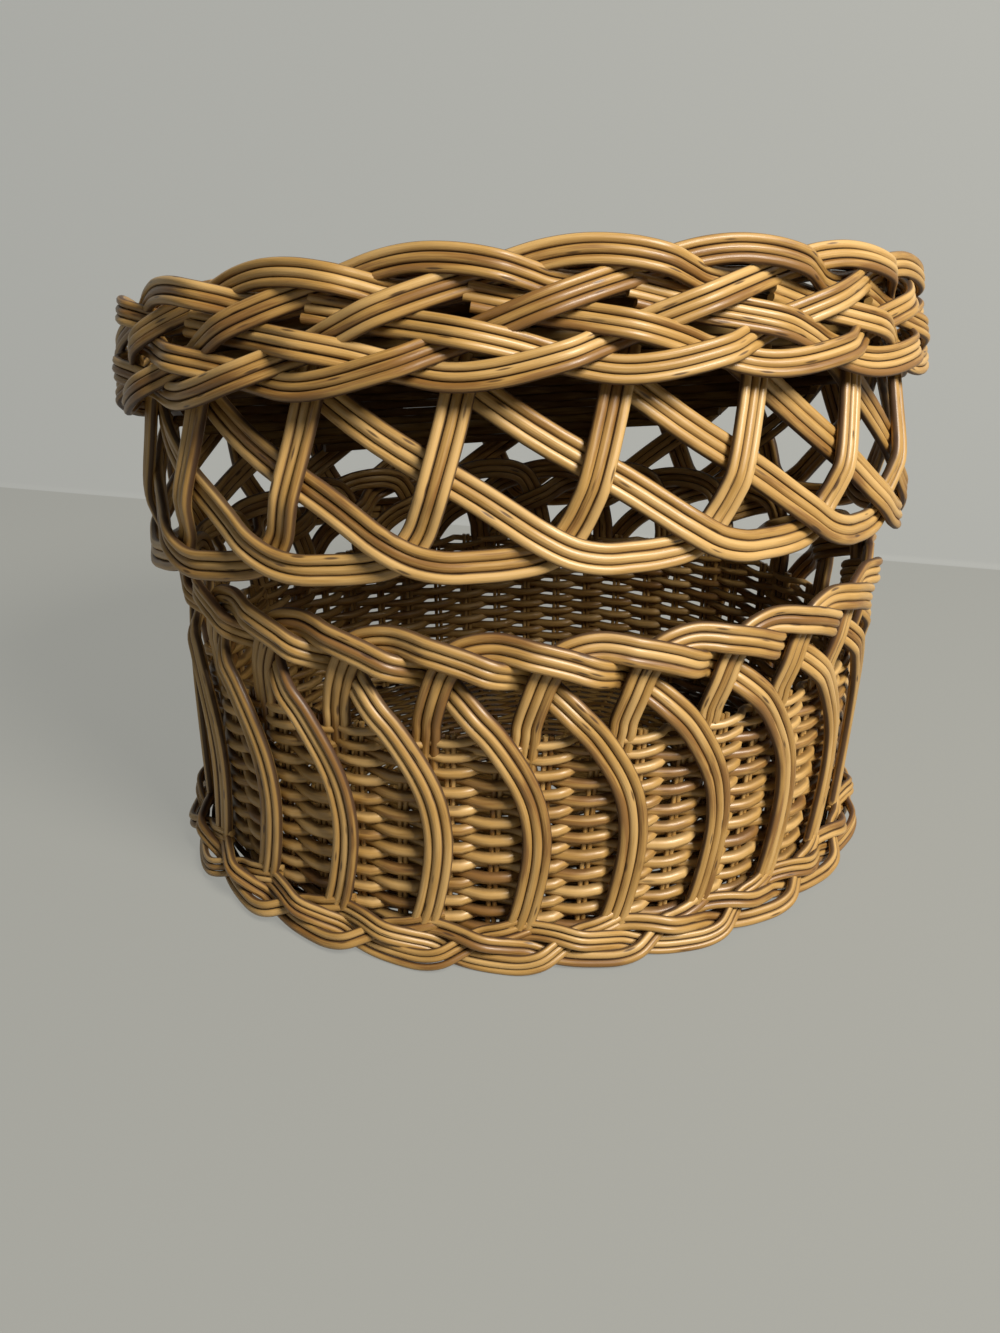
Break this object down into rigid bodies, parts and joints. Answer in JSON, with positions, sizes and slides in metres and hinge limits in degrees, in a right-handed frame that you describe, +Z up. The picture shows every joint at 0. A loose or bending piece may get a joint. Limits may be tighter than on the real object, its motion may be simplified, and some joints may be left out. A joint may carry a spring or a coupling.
{
  "type": "lidded wicker basket",
  "caption": "Oval varnished willow basket with a woven wall, scalloped openwork rim, plaited foot and a hinged openwork lid with a plaited border.",
  "frame": {"origin": "middle of the underside of the base, on the surface that the basket stands on", "axes": "+Z up; the front, where the lid is raised, faces -Y and the hinge is at the back, turned 4.6 degrees to the left; +X along the oval's long axis, to the right seen from the front"},
  "size_m": [0.2881, 0.2529, 0.2181],
  "materials": {
    "willow_rods": "peeled round willow rods, honey tan under semi-gloss varnish, dark in the seams between rods",
    "woven_willow": "randed weave of single willow rods under semi-gloss varnish",
    "split_willow": "thin dark brown willow rod twisted into a loop, varnished"
  },
  "bodies": {
    "basket": {"base": "woven_willow", "wall": "woven_willow", "stake_bundle_01": "willow_rods", "stake_bundle_02": "willow_rods", "stake_bundle_03": "willow_rods", "stake_bundle_04": "willow_rods", "stake_bundle_05": "willow_rods", "stake_bundle_06": "willow_rods", "stake_bundle_07": "willow_rods", "stake_bundle_08": "willow_rods", "stake_bundle_09": "willow_rods", "stake_bundle_10": "willow_rods", "stake_bundle_11": "willow_rods", "stake_bundle_12": "willow_rods", "stake_bundle_13": "willow_rods", "stake_bundle_14": "willow_rods", "stake_bundle_15": "willow_rods", "stake_bundle_16": "willow_rods", "stake_bundle_17": "willow_rods", "stake_bundle_18": "willow_rods", "stake_bundle_19": "willow_rods", "stake_bundle_20": "willow_rods", "stake_bundle_21": "willow_rods", "stake_bundle_22": "willow_rods", "stake_bundle_23": "willow_rods", "stake_bundle_24": "willow_rods", "foot_plait_strand_1": "willow_rods", "foot_plait_strand_2": "willow_rods", "foot_plait_strand_3": "willow_rods", "hinge_loop_left": "split_willow", "hinge_loop_right": "split_willow"},
    "lid": {"gallery_bundle_01": "willow_rods", "gallery_bundle_02": "willow_rods", "gallery_bundle_03": "willow_rods", "gallery_bundle_04": "willow_rods", "gallery_bundle_05": "willow_rods", "gallery_bundle_06": "willow_rods", "gallery_bundle_07": "willow_rods", "gallery_bundle_08": "willow_rods", "gallery_bundle_09": "willow_rods", "gallery_bundle_10": "willow_rods", "gallery_bundle_11": "willow_rods", "gallery_bundle_12": "willow_rods", "gallery_bundle_13": "willow_rods", "gallery_bundle_14": "willow_rods", "gallery_bundle_15": "willow_rods", "gallery_bundle_16": "willow_rods", "gallery_bundle_17": "willow_rods", "gallery_bundle_18": "willow_rods", "lid_plait_strand_1": "willow_rods", "lid_plait_strand_2": "willow_rods", "lid_plait_strand_3": "willow_rods", "lid_plait_strand_4": "willow_rods", "lid_top": "woven_willow", "lid_skirt": "woven_willow"}
  },
  "joints": [
    {"name": "lid_hinge", "type": "hinge", "parent": "basket", "child": "lid", "pos_m": [-0.01301, 0.11328, 0.0832], "axis": [-0.9968, -0.0802, 0], "range_deg": [-11.8, 100]}
  ]
}
